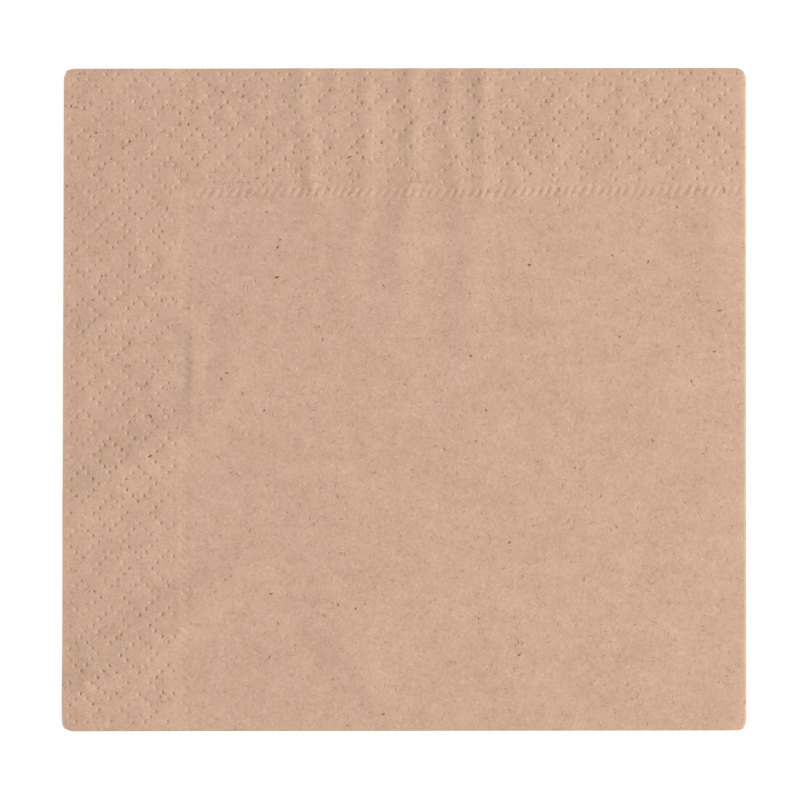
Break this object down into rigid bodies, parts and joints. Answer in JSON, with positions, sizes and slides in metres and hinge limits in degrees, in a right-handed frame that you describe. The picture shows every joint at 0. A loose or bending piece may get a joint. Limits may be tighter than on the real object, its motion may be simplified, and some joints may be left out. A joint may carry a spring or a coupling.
{
  "type": "paper napkin",
  "caption": "Square natural-brown paper napkin folded twice into a flat packet, with bands of pressed dot rings and slanted dashes along its two free edges.",
  "frame": {"origin": "middle of the underside of the folded packet, on the table", "axes": "+X along the packet towards its second fold, +Y up the packet towards the free edges with the wider band, +Z out of the table"},
  "size_m": [0.165, 0.16, 0.0015],
  "materials": {
    "brown_tissue": "matte, uncoated"
  },
  "bodies": {
    "root": {"napkin_sheet": "brown_tissue"}
  },
  "joints": []
}
